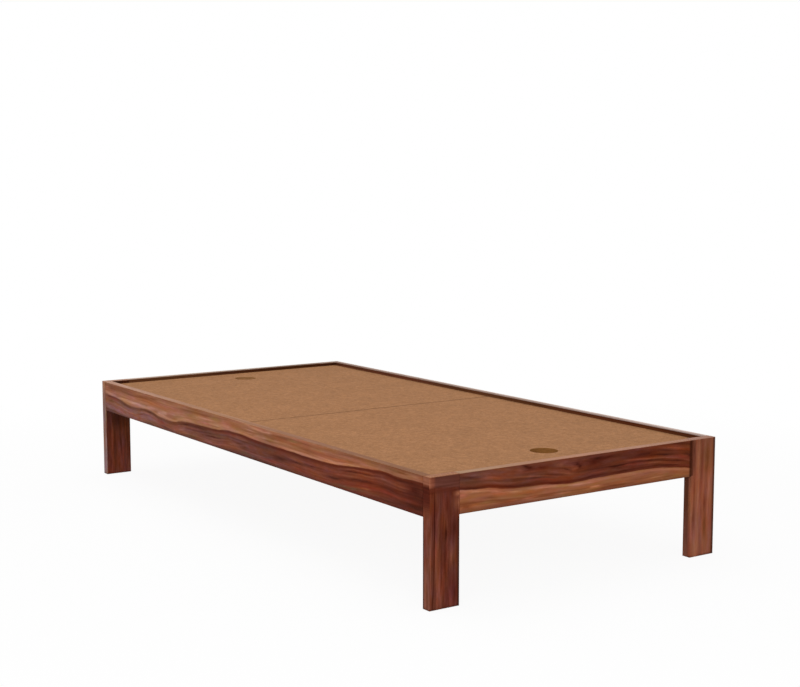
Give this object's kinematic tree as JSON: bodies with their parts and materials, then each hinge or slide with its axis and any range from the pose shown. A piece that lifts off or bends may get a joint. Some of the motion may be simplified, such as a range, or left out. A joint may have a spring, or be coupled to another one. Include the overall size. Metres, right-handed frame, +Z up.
{
  "type": "bed frame",
  "caption": "Low platform bed frame in dark hardwood: plank legs flush with the rails, and a recessed board deck in loose panels with finger holes.",
  "frame": {"origin": "on the floor, at the middle of the bed's length and width", "axes": "+Z up, +Y along the length towards the head end, +X across the bed towards its right side"},
  "size_m": [0.965, 1.975, 0.328],
  "materials": {
    "hardwood": "satin lacquer on figured dark hardwood",
    "deck_board": "matte pressed board",
    "support_wood": "planed, unfinished",
    "dowel_beech": "plain, unfinished",
    "bracket_steel": "black powder coat",
    "screw_zinc": "zinc plated"
  },
  "bodies": {
    "frame": {"leg_foot_left": "hardwood", "leg_foot_right": "hardwood", "leg_head_left": "hardwood", "leg_head_right": "hardwood", "side_rail_left": "hardwood", "side_rail_right": "hardwood", "foot_rail": "hardwood", "head_rail": "hardwood", "side_ledger_left": "support_wood", "side_ledger_right": "support_wood", "foot_ledger": "support_wood", "head_ledger": "support_wood", "centre_bearer": "support_wood", "bearer_foot_outer": "support_wood", "bearer_foot_inner": "support_wood", "bearer_head_inner": "support_wood", "bearer_head_outer": "support_wood", "bracket_foot_left": "bracket_steel", "bracket_foot_right": "bracket_steel", "bracket_head_left": "bracket_steel", "bracket_head_right": "bracket_steel", "rail_dowels": "dowel_beech", "bracket_screws": "screw_zinc", "ledger_screws": "screw_zinc", "lap_screws": "screw_zinc"},
    "deck_foot": {"deck_panel_foot": "deck_board"},
    "deck_head": {"deck_panel_head": "deck_board"}
  },
  "joints": [
    {"name": "lift_foot_panel", "type": "slide", "parent": "frame", "child": "deck_foot", "axis": [0, 0, 1], "range_m": [0, 0.15]},
    {"name": "lift_head_panel", "type": "slide", "parent": "frame", "child": "deck_head", "axis": [0, 0, 1], "range_m": [0, 0.15]}
  ]
}
